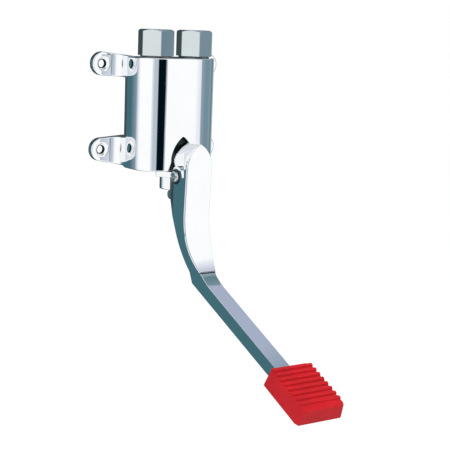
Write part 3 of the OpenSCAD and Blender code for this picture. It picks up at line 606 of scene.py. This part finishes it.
# Each ring lists its panels by their turn in degrees from the wall's side towards the right.
white, pale, mauve = (1.0, 1.0, 1.0), (0.79, 0.80, 0.87), (0.68, 0.68, 0.78)
silver, lavender, slate = (0.48, 0.54, 0.61), (0.39, 0.44, 0.57), (0.29, 0.37, 0.43)
steel, teal, deep_teal = (0.18, 0.27, 0.33), (0.12, 0.216, 0.23), (0.055, 0.147, 0.18)
coal, ink, black = (0.08, 0.10, 0.11), (0.02, 0.03, 0.035), (0.0, 0.005, 0.01)
lower_tones = [(-150, white), (-66, white), (-54, slate), (-44, deep_teal), (-16, deep_teal),
               (0, ink), (30, steel), (97, teal), (124, steel), (136, white)]
middle_tones = [(-164, silver), (-146, pale), (-132, white), (-70, white), (-53, mauve),
                (-45, silver), (-40.5, slate), (-38.8, steel), (-36, deep_teal), (-27, deep_teal),
                (-22, ink), (-4, coal), (8, ink), (36, coal), (52, lavender), (68, lavender),
                (80, teal), (97, teal), (119, slate), (124, steel), (128, steel), (131, slate),
                (134.5, pale), (138, white), (167.6, white), (168.5, black), (173.4, black),
                (174.3, silver)]
upper_tones = [(-150, white), (-60, white), (-45, slate), (-33, deep_teal), (8, ink), (30, lavender),
               (70, lavender), (76, steel), (97, teal), (105, slate), (121, mauve), (127, pale),
               (134, white)]
middle_from, middle_full, upper_from, upper_full = -0.5, -0.42, 0.5, 0.95
roof_from, roof_full, roof_tone, panel_glow = 1.22, 1.44, (0.34, 0.38, 0.46, 1), 1.05


def panel_ring(tree, turn, tones):
    ring = tree.nodes.new("ShaderNodeValToRGB")
    stops = sorted((((90 - azimuth + 180) % 360) / 360, tone) for azimuth, tone in tones)
    for place, tone in stops[:-2]:
        ring.color_ramp.elements.new(place)
    for stop, (place, tone) in zip(ring.color_ramp.elements, stops):
        stop.position = place
        stop.color = (*tone, 1)
    tree.links.new(turn, ring.inputs["Fac"])
    return ring.outputs["Color"]


def rise_into(tree, height, start, full, under, over):
    span = tree.nodes.new("ShaderNodeMapRange")
    for label, value in (("From Min", start), ("From Max", full), ("To Min", 0.0), ("To Max", 1.0)):
        span.inputs[label].default_value = value
    tree.links.new(height, span.inputs["Value"])
    mix = tree.nodes.new("ShaderNodeMix")
    mix.data_type = "RGBA"
    tree.links.new(span.outputs["Result"], mix.inputs["Factor"])
    for socket, tone in ((mix.inputs["A"], under), (mix.inputs["B"], over)):
        if isinstance(tone, tuple):
            socket.default_value = tone
        else:
            tree.links.new(tone, socket)
    return mix.outputs["Result"]


coords = tree.nodes.new("ShaderNodeTexCoord")
round_about = tree.nodes.new("ShaderNodeTexGradient")
round_about.gradient_type = "RADIAL"
tree.links.new(coords.outputs["Object"], round_about.inputs["Vector"])
height = read_place(tree)["Z"]
lower, middle, upper = (panel_ring(tree, round_about.outputs["Fac"], tones)
                        for tones in (lower_tones, middle_tones, upper_tones))
walls = rise_into(tree, height, middle_from, middle_full, lower, middle)
walls = rise_into(tree, height, upper_from, upper_full, walls, upper)
walls = rise_into(tree, height, roof_from, roof_full, walls, roof_tone)
glow = tree.nodes.new("ShaderNodeEmission")
glow.inputs["Strength"].default_value = panel_glow
tree.links.new(walls, glow.inputs["Color"])
tree.links.new(glow.outputs["Emission"], tree.nodes["Material Output"].inputs["Surface"])


def seen_or_mirrored(tree):
    paths = tree.nodes.new("ShaderNodeLightPath")
    return reckon(tree, "MAXIMUM", paths.outputs["Is Camera Ray"], paths.outputs["Is Glossy Ray"])


def choose_light(tree, factor, first, second, output):
    choose = tree.nodes.new("ShaderNodeMixShader")
    tree.links.new(factor, choose.inputs["Fac"])
    tree.links.new(first, choose.inputs[1])
    tree.links.new(second, choose.inputs[2])
    tree.links.new(choose.outputs["Shader"], tree.nodes[output].inputs["Surface"])


floor_half, floor_z, floor_glow, floor_share = 6, -0.6, 1.2, 0.75
corners = [(x * floor_half, y * floor_half, floor_z) for x, y in ((-1, -1), (1, -1), (1, 1), (-1, 1))]
tree, shader = stage_mesh("floor", corners, [(0, 1, 2, 3)], True)
shader.inputs["Base Color"].default_value = (0.9, 0.9, 0.9, 1)
shader.inputs["Roughness"].default_value = 0.9
glow = tree.nodes.new("ShaderNodeEmission")
glow.inputs["Strength"].default_value = floor_glow
share = reckon(tree, "MULTIPLY", seen_or_mirrored(tree), floor_share)
choose_light(tree, share, shader.outputs["BSDF"], glow.outputs["Emission"], "Material Output")

world = bpy.data.worlds.new("studio")
world.use_nodes = True
bpy.context.scene.world = world
tree = world.node_tree
air = tree.nodes["Background"]
air.inputs["Color"].default_value = (0.75, 0.77, 0.79, 1)
air.inputs["Strength"].default_value = 0.55
backdrop = tree.nodes.new("ShaderNodeBackground")
backdrop.inputs["Color"].default_value = (1, 1, 1, 1)
choose_light(tree, seen_or_mirrored(tree), air.outputs["Background"],
             backdrop.outputs["Background"], "World Output")


def soft_box(name, place, size, energy):
    aim = Vector((0, -0.1, -0.05))
    light = bpy.data.lights.new(name, "AREA")
    light.shape = "RECTANGLE"
    light.size, light.size_y = size
    light.energy = energy
    lamp = place_object(name, light)
    lamp.location = place
    lamp.rotation_euler = (aim - Vector(place)).to_track_quat("-Z", "Y").to_euler()
    lamp.visible_glossy = False


soft_box("key_box", place=(-0.9, -1.1, 1.5), size=(1.2, 1.2), energy=26)
soft_box("fill_box", place=(1.5, -0.9, 0.5), size=(1.0, 1.4), energy=12)

lens = bpy.data.cameras.new("camera")
lens.sensor_width = 36
lens.lens = 97.64
camera = place_object("camera", lens)
eye = (-0.54166, -0.92111, 0.08064)
turn, pitch, roll = math.radians(34.083), math.radians(9.781), math.radians(2.103)
ahead = Vector((math.sin(turn) * math.cos(pitch), math.cos(turn) * math.cos(pitch), -math.sin(pitch)))
level = Vector((math.cos(turn), -math.sin(turn), 0))
above = level.cross(ahead)
across = level * math.cos(roll) + above * math.sin(roll)
upright = above * math.cos(roll) - level * math.sin(roll)
stand = Matrix((across, upright, -ahead)).transposed().to_4x4()
stand.translation = eye
camera.matrix_world = stand
bpy.context.scene.camera = camera
bpy.context.scene.view_settings.view_transform = "Standard"
